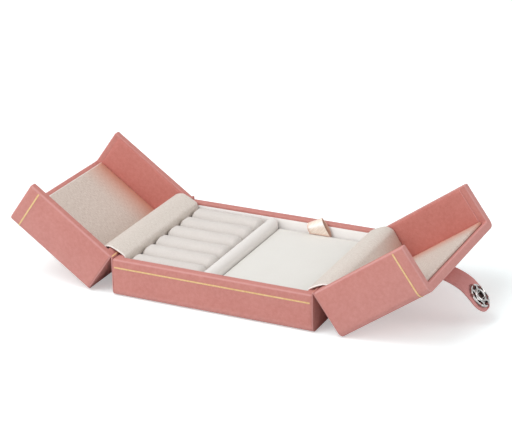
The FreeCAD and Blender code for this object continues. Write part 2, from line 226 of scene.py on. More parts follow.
# a lighter, pinker copy of the pink suede, for the strap: painted light on a strap that sits in the lid's
# shade
paintedLightStrapSuede = suedeFinish("paintedLightStrapSuede", tone(192, 120, 118), tone(213, 146, 142), tone(226, 166, 162),
                         tone(232, 176, 172))
beigeLinen = linenFinish("beigeLinen", tone(192, 177, 164), tone(218, 207, 198), tone(238, 231, 223))
lidLinen = linenFinish("lidLinen", tone(168, 144, 130), tone(203, 186, 174), tone(234, 224, 215))
ivoryVelvet = velvetFinish("ivoryVelvet", tone(203, 195, 190), tone(217, 211, 206), tone(229, 224, 220))
barVelvet = velvetFinish("barVelvet", tone(226, 220, 216), tone(237, 233, 229), tone(245, 242, 239))
padVelvet = velvetFinish("padVelvet", tone(226, 223, 217), tone(231, 229, 224), tone(236, 235, 230))
whiteLining = paperFinish("whiteLining", tone(243, 238, 235), tone(252, 249, 247), tone(255, 254, 253))
footPaper = paperFinish("footPaper", tone(168, 104, 98), tone(190, 124, 117), tone(204, 142, 135), 700)
sewingThread = paperFinish("sewingThread", tone(120, 66, 64), tone(150, 88, 84), tone(176, 112, 106), 3000)
satinRibbon = satinFinish("satinRibbon", tone(226, 199, 178), tone(240, 222, 206), tone(250, 243, 235))
goldFoil = metalFinish("goldFoil", tone(228, 187, 130), tone(243, 212, 162), 0.3, 0.5, 900)
# the snap metal's dark body tone is a painted dark reflection
snapMetal = metalFinish("snapMetal", tone(150, 145, 143), tone(214, 212, 211), 0.08, 0.2, 500)
# a near-black copy of the metal for the disc under the snap cap: painted shade inside the hollow cap
snapPaintedShade = metalFinish("snapPaintedShade", tone(58, 42, 40), tone(92, 70, 66), 0.4, 0.6, 900)
print("finishes ready")


# mesh tools
def makePiece(name, points, faces, finish, marks=None, uv=None, sharp=50, ripple=None):
    mesh = bpy.data.meshes.new(name)
    mesh.from_pydata([Vector(p) * mm for p in points], [], faces)
    for label, values in (marks or {}).items():
        mesh.attributes.new(label, "FLOAT", "POINT").data.foreach_set("value", values)
    if uv:
        layer = mesh.uv_layers.new(name="UVMap")
        for loop in mesh.loops:
            layer.data[loop.index].uv = [c * mm for c in uv[loop.vertex_index]]
    work = bmesh.new()
    work.from_mesh(mesh)
    bmesh.ops.remove_doubles(work, verts=work.verts, dist=1e-6)
    bmesh.ops.recalc_face_normals(work, faces=work.faces)
    work.to_mesh(mesh)
    work.free()
    if ripple:  # cloth over card is never quite flat; it only moves inwards
        depth, length = ripple
        normals = [v.normal.copy() for v in mesh.vertices]
        for vertex, normal in zip(mesh.vertices, normals):
            lean = 0.5 + 0.5 * noise.noise(vertex.co / (length * mm))
            vertex.co -= normal * (depth * mm * lean)
    mesh.materials.append(finish)
    mesh.polygons.foreach_set("use_smooth", [True] * len(mesh.polygons))
    mesh.set_sharp_from_angle(angle=radians(sharp))
    piece = bpy.data.objects.new(name, mesh)
    scene.collection.objects.link(piece)
    return piece


def settle(piece, body, slot, *nodes):  # the piece's body, finish slot (not used) and the solids it stands for
    if body:  # a piece given no body is not attached to one
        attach(piece, body)
    if nodes:
        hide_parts(*nodes)


def bridge(count, rings, around=False):  # faces between closed loops, each of the same count
    faces = []
    for r in range(rings if around else rings - 1):
        a, b = r * count, (r + 1) % rings * count
        for i in range(count):
            j = (i + 1) % count
            faces.append((a + i, a + j, b + j, b + i))
    return faces


def tubeFaces(count, rings):  # the same with flat ends
    last = (rings - 1) * count
    return bridge(count, rings) + [list(range(count)), list(range(last, last + count))]


def spaced(low, high, step):
    parts = max(1, round((high - low) / step))
    return [low + (high - low) * i / parts for i in range(parts + 1)]


def between(a, b, t):
    return a + (b - a) * t


def quarterTurn(parts):
    return [quarter * k / parts for k in range(parts + 1)]


def endRise(distance, radius):  # height of a rounded end, 0 to 1, at a distance from its tip
    return sqrt(max(0.0, 1 - max(0.0, 1 - distance / radius) ** 2))


def softBox(low, high, radius, step, place=None, crown=None):
    axes = []
    first, second = 0.28 * radius, 0.62 * radius  # extra lines in the rounded edges
    for a, b in zip(low, high):
        lead = [a, a + first, a + second]
        tail = [b - second, b - first, b]
        axes.append(lead + spaced(a + radius, b - radius, step) + tail)
    points, faces, uv, found = [], [], [], {}

    def pointAt(key):
        if key not in found:
            p = [axes[k][key[k]] for k in range(3)]
            near = Vector([min(max(p[k], low[k] + radius), high[k] - radius) for k in range(3)])
            p = near + (Vector(p) - near).normalized() * radius
            if crown:
                p = Vector(crown(p))
            found[key] = len(points)
            points.append(place(*p) if place else tuple(p))
            uv.append((p[0], p[1]))
        return found[key]
    last = [len(axis) - 1 for axis in axes]
    for k in range(3):
        m, n = [i for i in range(3) if i != k]
        for end in (0, last[k]):
            for i in range(last[m]):
                for j in range(last[n]):
                    corner = []
                    for di, dj in ((0, 0), (1, 0), (1, 1), (0, 1)):
                        key = [0, 0, 0]
                        key[k], key[m], key[n] = end, i + di, j + dj
                        corner.append(pointAt(tuple(key)))
                    faces.append(corner)
    return points, faces, uv


def sweepStrip(path, thick, edge, across):
    # path holds (point, normal, half width) in X and Z; the strip lies across Y, with rounded edges
    points, uv, cut, run, previous = [], [], [], 0.0, path[0][0]
    lipStep, cutWidth = pi / 6, edge * 0.9
    for (x, z), (nx, nz), half in path:
        run += hypot(x - previous[0], z - previous[1])
        previous = (x, z)
        flat = [(half - edge) * (2 * i / across - 1) for i in range(across + 1)]
        lip = []
        for k in (2, 1, 0, -1, -2):
            flank = (thick / 2 - edge) * ((k > 0) - (k < 0))
            lip.append((half - edge + edge * cos(k * lipStep), flank + edge * sin(k * lipStep)))
        ring = [(y, thick / 2) for y in flat] + lip
        ring += [(y, -thick / 2) for y in reversed(flat)] + [(-y, out) for y, out in reversed(lip)]
        for y, out in ring:
            points.append((x + nx * out, y, z + nz * out))
            uv.append((run, y))
            cut.append(1.0 if abs(y) > half - cutWidth else 0.0)
    count, top, turn = len(ring), len(flat), len(lip)
    faces = bridge(count, len(path))
    for base in (0, (len(path) - 1) * count):  # flat ends
        upper = [base + i for i in range(top)]
        lower = [base + top + turn + i for i in reversed(range(top))]
        faces += [(upper[i], upper[i + 1], lower[i + 1], lower[i]) for i in range(across)]
        faces.append([upper[-1]] + [base + top + k for k in range(turn)] + [lower[-1]])
        faces.append([lower[0]] + [base + 2 * top + turn + k for k in range(turn)] + [upper[0]])
    return points, faces, uv, cut


def normalsOf(line):  # left-hand normals along a line in X and Z
    out = []
    for i in range(len(line)):
        a, b = line[max(0, i - 1)], line[min(len(line) - 1, i + 1)]
        dx, dz = b[0] - a[0], b[1] - a[1]
        size = hypot(dx, dz)
        out.append((-dz / size, dx / size))
    return out


def runsOf(line):  # how far along the line each point is
    runs = [0.0]
    for a, b in zip(line, line[1:]):
        runs.append(runs[-1] + hypot(b[0] - a[0], b[1] - a[1]))
    return runs


def arcPoints(a, middle, b, parts):  # circle through three points in X and Z
    (ax, az), (mx, mz), (bx, bz) = a, middle, b
    d = 2 * (ax * (mz - bz) + mx * (bz - az) + bx * (az - mz))
    aa, ms, bb = ax * ax + az * az, mx * mx + mz * mz, bx * bx + bz * bz
    cx = (aa * (mz - bz) + ms * (bz - az) + bb * (az - mz)) / d
    cz = (aa * (bx - mx) + ms * (ax - bx) + bb * (mx - ax)) / d
    radius = hypot(ax - cx, az - cz)
    start, mid, end = (atan2(p[1] - cz, p[0] - cx) for p in (a, middle, b))
    turn = (end - start) % (2 * pi)
    if (mid - start) % (2 * pi) > turn:
        turn -= 2 * pi
    angles = [start + turn * i / parts for i in range(parts + 1)]
    return [(cx + radius * cos(angle), cz + radius * sin(angle)) for angle in angles]


def evened(line, step):  # the same line with evenly spaced points
    runs = runsOf(line)
    parts, out, k = max(2, round(runs[-1] / step)), [], 0
    for i in range(parts + 1):
        want = runs[-1] * i / parts
        while k < len(line) - 2 and runs[k + 1] < want:
            k += 1
        t = (want - runs[k]) / max(1e-9, runs[k + 1] - runs[k])
        out.append(tuple(between(line[k][c], line[k + 1][c], t) for c in (0, 1)))
    return out


def eased(line, rounds):  # softens kinks, ends held
    for _ in range(rounds):
        line = [line[0]] + [tuple((a[c] + 2 * b[c] + d[c]) / 4 for c in (0, 1))
                            for a, b, d in zip(line, line[1:], line[2:])] + [line[-1]]
    return line


padding = {"quality": 6, "mass": 0.15, "tension_stiffness": 12.0, "compression_stiffness": 12.0,
           "bending_stiffness": 2.0, "use_pressure": True, "vertex_group_mass": "held"}


def inflate(piece, held, pressure, frames, cap):
    # blows the cloth up a little on a larger copy, with the held points pinned
    grow = 10.0
    mesh = piece.data.copy()
    mesh.transform(Matrix.Scale(grow, 4))
    copy = bpy.data.objects.new("inflating", mesh)
    scene.collection.objects.link(copy)
    group = copy.vertex_groups.new(name="held")
    group.add([v.index for v in piece.data.vertices if held(v.co / mm)], 1.0, "REPLACE")
    cloth = copy.modifiers.new("inflating", "CLOTH")
    for label, value in padding.items():
        setattr(cloth.settings, label, value)
    cloth.settings.uniform_pressure_force = pressure
    cloth.settings.effector_weights.gravity = 0.0
    cloth.collision_settings.use_collision = False
    cloth.point_cache.frame_start, cloth.point_cache.frame_end = 1, frames
    for step in range(1, frames + 1):
        scene.frame_set(step)
    shown = copy.evaluated_get(bpy.context.evaluated_depsgraph_get())
    moved = [v.co / grow for v in shown.data.vertices]
    largest = 0.0
    for vertex, place in zip(piece.data.vertices, moved):
        shift = place - vertex.co
        largest = max(largest, shift.length / mm)
        if shift.length > cap * mm:
            shift *= cap * mm / shift.length
        vertex.co += shift
    scene.frame_set(1)
    bpy.data.objects.remove(copy)
    bpy.data.meshes.remove(mesh)
    piece.data.update()
    print("inflated", piece.name, "largest move before the cap", round(largest, 3), "mm")


# base tray
tray = {"rimRound": 0.85, "lipRound": 0.5, "lip": 1.35, "ripple": (0.05, 11.0), "corner": 0.3,
        "footIn": (0.6, 1.0), "wallFrom": 4.0, "wallStep": 1.6, "wallShort": 0.5, "sideDraw": 0.3,
        "rimMiddle": (46.6, 38.0), "lipChamfer": (0.12, 0.1), "pocket": 0.62, "parts": (32, 28, 3)}
liner = {"thick": 0.58, "gap": 0.03, "round": 0.14, "rows": (1.0, 4.0)}


def rectLoop(halfX, halfY, z):  # a rectangle with small round corners
    corner, (across, deep, turn) = tray["corner"], tray["parts"]
    x, y = halfX - corner, halfY - corner
    corners = ((x, -y), (x, y), (-x, y), (-x, -y))
    loop = []
    for k, (cx, cy) in enumerate(corners):
        for i in range(turn + 1):
            a = quarter * (k - 1 + i / turn)
            loop.append((cx + corner * cos(a), cy + corner * sin(a), z))
        ax, ay, _ = loop[-1]
        ex, ey = corners[(k + 1) % 4]
        bx, by, count = (ex, ay, across) if k % 2 else (ax, ey, deep)
        loop += [(between(ax, bx, i / count), between(ay, by, i / count), z) for i in range(1, count)]
    return loop


def baseTray():
    t, r, q = tray, tray["rimRound"], tray["lipRound"]
    sideX, top, edge = box["halfX"] - box["cloth"], box["rim"], box["edgeRound"]
    flat = box["halfY"] - edge
    levels = [(sideX - t["footIn"][0], flat - t["footIn"][1], 0.0, 0.0)]  # half sizes, height and pale edge mark: rubbed wear, partly a painted sheen highlight, at the foot a painted floor bounce
    levels += [(sideX, flat + edge * sin(a), edge * (1 - cos(a)), edgeWearAndSheen["foot"]) for a in quarterTurn(7)]
    heights = spaced(t["wallFrom"], top - r - t["wallShort"], t["wallStep"])
    levels += [(sideX, box["halfY"], z, 0.0) for z in heights]
    for a in quarterTurn(5):
        draw, z = 1 - cos(a), top - r + r * sin(a)
        levels.append((sideX - t["sideDraw"] * draw, box["halfY"] - r * draw, z, sin(2 * a)))
    levels.append((*t["rimMiddle"], top, 0.0))
    for a in quarterTurn(4):
        out, z = q * (1 - sin(a)), top - q * (1 - cos(a))
        levels.append((box["innerX"] + out, box["innerY"] + out, z, edgeWearAndSheen["lip"] * sin(2 * a)))
    low, (chamfer, drop), pocket = top - t["lip"], t["lipChamfer"], t["pocket"]
    for out, z in ((0.0, low + drop), (chamfer, low), (pocket, low), (pocket, box["floor"])):
        levels.append((box["innerX"] + out, box["innerY"] + out, z, 0.0))
    points, wearAndSheen = [], []
    for halfX, halfY, z, mark in levels:
        loop = rectLoop(halfX, halfY, z)
        points += loop
        wearAndSheen += [mark if abs(p[1]) > box["innerY"] - edgeWearAndSheen["reach"] else 0.0 for p in loop]
    faces = tubeFaces(len(loop), len(levels))
    piece = makePiece("baseTray", points, faces, pinkSuede, {"wearAndSheen": wearAndSheen}, ripple=t["ripple"])
    settle(piece, "base", "pink_suede", "base_cover", "base_floor_board", "base_front_wall", "base_back_wall",
           "base_left_wall", "base_right_wall")


def baseLiner():
    thick, soft, floor = liner["thick"], liner["round"], box["floor"]
    top = box["rim"] - tray["lip"] - liner["gap"]
    levels = [(thick, floor), (thick, top - soft), (thick - soft, top), (soft, top), (0.0, top - soft)]
    levels += [(0.0, top - row) for row in liner["rows"]] + [(0.0, floor)]
    points = []
    for out, z in levels:
        points += rectLoop(box["innerX"] + out, box["innerY"] + out, z)
    faces = bridge(len(points) // len(levels), len(levels), True)
    settle(makePiece("baseLiner", points, faces, whiteLining), "base", "white_lining", "base_liner")


baseTray()
baseLiner()
print("base tray made")


# lids
lidShell = {"innerY": 36.3, "panelInner": 19.0, "rimRound": 0.95, "lipRound": 0.6, "endRound": 0.75,
            "endWearAndSheen": 0.45, "cornerFillet": 0.6, "ripple": (0.05, 11.0), "step": 1.9, "panelStep": 2.2,
            "wallTop": 0.03, "wallEnd": 4.0, "wallOver": (0.2, 0.3), "wallRound": 0.4, "wallStep": 3.0}
facings = {"start": 4.0, "end": 45.6, "top": 0.75, "bottom": 18.9, "face": 35.78, "thick": 0.9, "round": 0.3,
           "step": 2.4, "paintedEndHighlight": {"left": 0.0, "right": 1.0}}
linings = {"start": 4.3, "end": 46.3, "halfY": 35.7, "face": 17.5, "back": 18.95, "round": 0.55, "step": 1.6,
           "crown": 0.12, "paintedBounceShade": 20.0, "fade": 1.4, "sideGlue": 0.05, "puff": (1.0, 10, 0.15),
           "paintedEndHighlight": {"left": 0.6, "right": 0.0}}  # puff is pressure, frames and largest move


def bandHalf(halfY, bottom, edge, rim, inner):
    # half of a wall and panel section, from the middle of the panel to the rim, with pale edge marks: rubbed
    # wear, partly a painted sheen highlight, and a painted floor bounce at the outer foot
    line = [(y, bottom, 0.0) for y in spaced(0.0, halfY - edge, lidShell["panelStep"])]
    way, foot, lip = (1, 0.0, edgeWearAndSheen["lip"]) if inner else (-1, edgeWearAndSheen["foot"], 1.0)
    for a in quarterTurn(8)[1:]:
        line.append((halfY - edge + edge * sin(a), bottom - edge * (1 - cos(a)), foot))
    line.append((halfY, rim, 0.0))
    for a in quarterTurn(5)[1:]:
        line.append((halfY + way * rim * (1 - cos(a)), rim - rim * sin(a), lip * sin(2 * a)))
    return line


def lidTray(name, side):
    shell, place = lidShell, lidPlace(side)
    outer = bandHalf(box["halfY"], lid["depth"], lid["edgeRound"], shell["rimRound"], False)
    inner = bandHalf(shell["innerY"], shell["panelInner"], shell["cornerFillet"], shell["lipRound"], True)
    while len(inner) < len(outer):  # same count on both faces, so that the ends close in strips
        k = max(range(1, len(inner)), key=lambda i: inner[i][0] - inner[i - 1][0])
        inner.insert(k, tuple((a + b) / 2 for a, b in zip(inner[k], inner[k - 1])))
    outside, inside = ([(-y, d, mark) for y, d, mark in reversed(half[1:])] + half for half in (outer, inner))
    loop = outside + inside[::-1]
    count, half = len(loop), len(outside)
    lean = []
    for (ay, ad, _), (by, bd, _) in zip(loop[-1:] + loop[:-1], loop[1:] + loop[:1]):  # inward direction
        size = hypot(by - ay, bd - ad)
        lean.append(((bd - ad) / size, (ay - by) / size))
    r, end = shell["endRound"], lid["length"] - shell["endRound"]
    stations = [(s, 0.0, 0.0) for s in spaced(lid["start"], end, shell["step"])]
    # the free end's rounding is marked pale: rubbed wear, partly a painted sheen highlight
    for a in quarterTurn(5)[1:]:
        stations.append((end + r * sin(a), r * (1 - cos(a)), max(shell["endWearAndSheen"], sin(2 * a))))
    points, wearAndSheen = [], []
    for s, inset, edge in stations:
        for (y, d, mark), (ny, nd) in zip(loop, lean):
            points.append(place(s, y + ny * inset, d + nd * inset))
            wearAndSheen.append(max(mark, edge))
    faces = bridge(count, len(stations))
    for base in (0, (len(stations) - 1) * count):
        last = base + count - 1
        faces += [(base + i, base + i + 1, last - 1 - i, last - i) for i in range(half - 1)]
    wide, deep = shell["innerY"] + shell["wallOver"][0], shell["panelInner"] + shell["wallOver"][1]
    wall = softBox((lid["start"], -wide, shell["wallTop"]), (shell["wallEnd"], wide, deep),
                   shell["wallRound"], shell["wallStep"], place)
    faces += [[len(points) + i for i in face] for face in wall[1]]
    points += wall[0]
    wearAndSheen += [0.0] * len(wall[0])
    piece = makePiece(name + "LidTray", points, faces, pinkSuede, {"wearAndSheen": wearAndSheen}, ripple=shell["ripple"])
    boards = ("cover", "panel", "front_wall", "back_wall", "end_wall")
    settle(piece, name + "_lid", "pink_suede", *[name + "_lid_" + board for board in boards])


def lidFacings(name, side):
    f, place = facings, lidPlace(side)
    low, high = (f["start"], f["face"], f["top"]), (f["end"], f["face"] + f["thick"], f["bottom"])
    for label, way in (("Front", -1), ("Back", 1)):
        points, faces, flat = softBox(low, high, f["round"], f["step"], lambda s, y, d: place(s, way * y, d))
        # a pale line at the facing's free end, on the right lid only: a painted highlight where the edge
        # catches light
        edge = [f["paintedEndHighlight"][name] if along > f["end"] - f["round"] else 0.0 for along, _ in flat]
        piece = makePiece(name + "Lid" + label + "Facing", points, faces, paintedBounceSuede, {"wearAndSheen": edge})
        settle(piece, name + "_lid", "pink_suede", name + "_lid_" + label.lower() + "_facing")


def lidLining(name, side):
    n, c, s = linings, cos(fold["tilt"]), sin(fold["tilt"])
    low, high = (n["start"], -n["halfY"], n["face"]), (n["end"], n["halfY"], n["back"])
    middle, reach = (low[0] + high[0]) / 2, (high[0] - low[0]) / 2

    def crown(p):  # a little fuller in the middle
        full = max(0.0, 1 - ((p[0] - middle) / reach) ** 4) * max(0.0, 1 - (p[1] / n["halfY"]) ** 4)
        top = (n["back"] - p[2]) / (n["back"] - n["face"])
        return p[0], p[1], p[2] - n["crown"] * full * max(0.0, top)

    def glued(p):  # points against the panel and the walls
        down = (side * p.x - fold["x"]) * s - (p.z - fold["z"]) * c
        return down > n["back"] - n["round"] or abs(p.y) > n["halfY"] - n["sideGlue"]
    points, faces, uv = softBox(low, high, n["round"], n["step"], lidPlace(side), crown)
    # a pale line at the lining's free end, on the left lid only: a painted highlight
    cut = [n["paintedEndHighlight"][name] if along > n["end"] - n["round"] else 0.0 for along, _ in uv]
    paintedBounceShade = [max(0.0, 1 - (n["halfY"] - y) / n["paintedBounceShade"]) ** n["fade"] for _, y in uv]  # painted pink bounce light and shade off the back wall
    marks = {"cut": cut, "paintedBounceShade": paintedBounceShade}
    piece = makePiece(name + "LidLining", points, faces, lidLinen, marks, uv, softAngle)
    inflate(piece, glued, *n["puff"])
    settle(piece, name + "_lid", "beige_linen", name + "_lid_lining")


for lidName, lidSide in lids:
    lidTray(lidName, lidSide)
    lidFacings(lidName, lidSide)
    lidLining(lidName, lidSide)
print("lids made")


# cloth over the fold lines
hingeCloth = {"thick": 0.57, "edge": 0.26, "across": 44, "step": 1.4, "wearAndSheen": 0.8, "foldParts": 12,
              "corner": 3.4, "foot": (0.02, 0.12, 0.35, 0.7, 1.2, 1.8, 2.5),
              "hem": (2.8, 2.2, 1.6, 1.1, 0.7, 0.35, 0.12, 0.02),
              "bends": ((48.98, fold["z"]), (49.2, fold["z"]))}
foil = {"thick": 0.06, "edge": 0.02, "from": 165, "turn": -45, "parts": 6, "shorter": 1.75, "shift": 1.5}
hingeStrip = {"thick": 0.7, "edge": 0.3, "halfY": 35.1, "across": 40, "foot": (44.55, 13.9),
              "rimPoint": (44.55, 17.8), "crest": (4.0, -0.6), "shoulder": (6.6, 2.6), "end": (5.4, 16.6),
              "bulge": 0.25, "parts": (14, 10), "step": 0.45, "soften": 3, "paintedBounceShade": 0.8,
              "bends": ((44.95, 18.2), (54.6, 21.0))}


def cornerHalf(height, radius):  # half depth of a rounded lower corner at a height above the bottom
    if height >= radius:
        return box["halfY"]
    return box["halfY"] - radius + sqrt(max(0.0, radius ** 2 - (radius - height) ** 2))


def stripPath(line, side, halves):
    rows = zip(line, normalsOf(line), halves)
    return [((side * x, z), (side * nx, nz), half) for (x, z), (nx, nz), half in rows]


def bendWithLid(piece, name, side, ends):  # bakes the piece's transform into its mesh; the two end points are worked out and not used
    start, end = ((side * x * mm, 0, z * mm) for x, z in ends)
    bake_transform(piece)
    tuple(start)
    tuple(end)


def hingeCover(name, side):
    h, middle = hingeCloth, box["cloth"] / 2
    heights = list(h["foot"]) + spaced(h["corner"], fold["z"], h["step"])
    line = [(fold["x"] - middle, z) for z in heights]
    halves = [cornerHalf(z, box["edgeRound"]) for z in heights]
    for k in range(1, h["foldParts"]):
        a = pi - (pi - fold["tilt"]) * k / h["foldParts"]
        line.append((fold["x"] + middle * cos(a), fold["z"] + middle * sin(a)))
        halves.append(box["halfY"])
    downs = spaced(0.0, lid["depth"] - h["corner"], h["step"]) + [lid["depth"] - d for d in h["hem"]]
    line += [lidPoint(middle, d) for d in downs]
    halves += [cornerHalf(lid["depth"] - d, lid["edgeRound"]) for d in downs]
    points, faces, uv, cut = sweepStrip(stripPath(line, side, halves), h["thick"], h["edge"], h["across"])
    # paler cloth at the cover's front and back ends: rubbed wear, partly a painted sheen highlight
    wearAndSheen = [h["wearAndSheen"] * c for c in cut]
    piece = makePiece(name + "LidHingeCover", points, faces, pinkSuede, {"wearAndSheen": wearAndSheen}, uv)
    settle(piece, None, "pink_suede", name + "_hinge_cover")
    bendWithLid(piece, name, side, h["bends"])


def hingeFoil(name, side):  # thin gold line along the crest of the fold, which stops short of the back
    f, r, path = foil, box["cloth"], []
    for k in range(f["parts"] + 1):
        a = radians(f["from"] + f["turn"] * k / f["parts"])
        place = (side * (fold["x"] + r * cos(a)), fold["z"] + r * sin(a))
        path.append((place, (side * cos(a), sin(a)), box["halfY"] - f["shorter"]))
    points, faces, uv, _ = sweepStrip(path, f["thick"], f["edge"], hingeCloth["across"])
    points = [(x, y - f["shift"], z) for x, y, z in points]
    piece = makePiece(name + "LidHingeFoil", points, faces, goldFoil, uv=uv)
    settle(piece, None, "gold_foil")
    bendWithLid(piece, name, side, hingeCloth["bends"])


def hingeLining(name, side):
    s = hingeStrip
    crest, shoulder, end = (lidPoint(*s[label]) for label in ("crest", "shoulder", "end"))

    def bulged(a, b):
        dx, dz = b[0] - a[0], b[1] - a[1]
        size = hypot(dx, dz)
        return (a[0] + b[0]) / 2 - dz * s["bulge"] / size, (a[1] + b[1]) / 2 + dx * s["bulge"] / size
    line = [s["foot"]] + arcPoints(s["rimPoint"], bulged(s["rimPoint"], crest), crest, s["parts"][0])
    line += arcPoints(crest, bulged(crest, shoulder), shoulder, s["parts"][1])[1:] + [end]
    line = eased(evened(line, s["step"]), s["soften"])
    path = stripPath(line, side, [s["halfY"]] * len(line))
    points, faces, uv, cut = sweepStrip(path, s["thick"], s["edge"], s["across"])
    length = runsOf(line)[-1]
    # painted pink bounce light from the back wall on the lid half of the strip
    paintedBounceShade = [s["paintedBounceShade"] * max(0.0, 2 * run / length - 1) * max(0.0, y / s["halfY"]) for run, y in uv]
    piece = makePiece(name + "LidHingeLining", points, faces, beigeLinen, {"cut": cut, "paintedBounceShade": paintedBounceShade}, uv)
    settle(piece, None, "beige_linen", name + "_hinge_lining")
    bendWithLid(piece, name, side, s["bends"])


for lidName, lidSide in lids:
    hingeCover(lidName, lidSide)
    hingeFoil(lidName, lidSide)
    hingeLining(lidName, lidSide)
print("hinge cloths made")


# rolls, bar and pad
roll = {"left": -43.85, "right": -7.6, "bottom": 7.3, "top": 17.2, "width": 11.5, "endRound": 3.2,
        "power": 3.0, "count": 6, "pitch": 12.0, "seed": 3, "endWidth": 0.72, "step": 1.3, "turns": 26,
        "smallest": (0.997, 0.992, 0.985),
        "ends": (0.0, 0.12, 0.4, 0.8, 1.3, 1.9, 2.5, 3.2), "floorParts": 8, "glued": 0.3,
        "puff": (3.0, 14, 0.25)}
bed = {"halfY": 35.7, "gap": 0.02, "round": 0.4, "step": 5.0}
bar = {"centre": -4.5, "width": 5.5, "bottom": 3.0, "top": 17.0, "halfY": 35.7, "endRound": 1.5,
       "endDraw": 0.8, "ends": (0.0, 0.06, 0.22, 0.5, 0.9, 1.5), "step": 1.5, "wallStep": 1.4, "turns": 16,
       "floorParts": 4, "glued": 9.0, "puff": (3.0, 12, 0.15)}
pad = {"low": (-1.35, -35.6, 7.8), "high": (41.65, 34.65, 12.45), "round": 0.95, "step": 1.5, "glued": 9.6,
       "puff": (2.0, 12, 0.15)}
compartment = {"low": (-1.4, -32.4, box["floor"]), "high": (43.85, 32.4, 3.5), "round": 0.2, "step": 1.8,
               "ripple": (0.12, 6.0)}


def namedTree(name, **values):  # every tree takes a geometry, its own named values and a finish
    tree = bpy.data.node_groups.new(name, "GeometryNodeTree")
    sockets = tree.interface
    kinds = {int: "NodeSocketInt", float: "NodeSocketFloat"}
    sockets.new_socket(name="Geometry", in_out="INPUT", socket_type="NodeSocketGeometry")
    for label, value in values.items():
        sockets.new_socket(name=label, in_out="INPUT", socket_type=kinds[type(value)]).default_value = value
    sockets.new_socket(name="Finish", in_out="INPUT", socket_type="NodeSocketMaterial")
    sockets.new_socket(name="Geometry", in_out="OUTPUT", socket_type="NodeSocketGeometry")
    return tree, tree.nodes.new("NodeGroupInput").outputs


def closeTree(tree, geometry, finish):  # every tree ends in plain, finished faces
    plain = addNode(tree, "GeometryNodeRealizeInstances", {0: geometry})
    faces = addNode(tree, "GeometryNodeSetMaterial", {"Geometry": plain.outputs[0], "Material": finish})
    addNode(tree, "NodeGroupOutput", {0: faces.outputs[0]})
    return tree


def grown(piece, tree, **values):  # runs a tree on a piece and keeps the plain mesh
    modifier = piece.modifiers.new(tree.name, "NODES")
    modifier.node_group = tree
    for socket in tree.interface.items_tree:
        if socket.in_out == "INPUT" and socket.name in values:
            modifier[socket.identifier] = values[socket.name]
    shown = piece.evaluated_get(bpy.context.evaluated_depsgraph_get())
    mesh = bpy.data.meshes.new_from_object(shown)
    piece.modifiers.clear()
    piece.data = mesh


def vectorOf(tree, **axes):
    return addNode(tree, "ShaderNodeCombineXYZ", axes).outputs[0]


def copiesOf(tree, points, piece, **where):
    inputs = {"Points": points.outputs[0], "Instance": piece, **where}
    return addNode(tree, "GeometryNodeInstanceOnPoints", inputs).outputs[0]


def rowTree():  # copies in a row along Y, each a little different in size
    tree, given = namedTree("rollRow", Count=6, Pitch=0.012, Seed=3)
    first = times(tree, times(tree, given["Pitch"], maths(tree, "SUBTRACT", given["Count"], 1.0)), -0.5)
    places = {"Count": given["Count"], "Start Location": vectorOf(tree, Y=first),
              "Offset": vectorOf(tree, Y=given["Pitch"])}
    row = addNode(tree, "GeometryNodeMeshLine", places)
    sizes = {0: roll["smallest"], 1: (1.0, 1.0, 1.0), "Seed": given["Seed"]}
    size = addNode(tree, "FunctionNodeRandomValue", sizes, data_type="FLOAT_VECTOR")
    copies = copiesOf(tree, row, given["Geometry"], Scale=size.outputs[0])
    return closeTree(tree, copies, given["Finish"])


def endStations(low, high, ends, step):  # closer together in the two rounded ends
    middle = spaced(low + ends[-1], high - ends[-1], step)[1:-1]
    return [low + e for e in ends] + middle + [high - e for e in reversed(ends)]


def velvetRolls():
    r, points = roll, []
    stations = endStations(r["left"], r["right"], r["ends"], r["step"])
    for x in stations:
        k = endRise(min(x - r["left"], r["right"] - x), r["endRound"])
        half = r["width"] / 2 * between(r["endWidth"], 1.0, k)
        high = r["top"] - r["bottom"] - r["endRound"] * (1 - k)
        for i in range(r["turns"] + 1):
            c, s = cos(pi * i / r["turns"]), sin(pi * i / r["turns"])
            y = half * abs(c) ** (2 / r["power"]) * (1 if c > 0 else -1)
            points.append((x, y, r["bottom"] + high * max(0.0, s) ** (2 / r["power"])))
        under = [between(-half, half, i / r["floorParts"]) for i in range(1, r["floorParts"])]
        points += [(x, y, r["bottom"]) for y in under]
    faces = tubeFaces(r["turns"] + r["floorParts"], len(stations))
    piece = makePiece("velvetRolls", points, faces, ivoryVelvet, sharp=softAngle)
    inflate(piece, lambda p: p.z < r["bottom"] + r["glued"], *r["puff"])
    grown(piece, rowTree(), Count=r["count"], Pitch=r["pitch"] * mm, Seed=r["seed"], Finish=ivoryVelvet)
    settle(piece, "base", "ivory_velvet", *["velvet_roll_%d" % (i + 1) for i in range(r["count"])])


def rollBed():
    low = (roll["left"], -bed["halfY"], box["floor"])
    high = (roll["right"], bed["halfY"], roll["bottom"] - bed["gap"])
    points, faces, _ = softBox(low, high, bed["round"], bed["step"])
    piece = makePiece("rollBed", points, faces, ivoryVelvet, sharp=softAngle)
    settle(piece, "base", "ivory_velvet", "roll_bed")


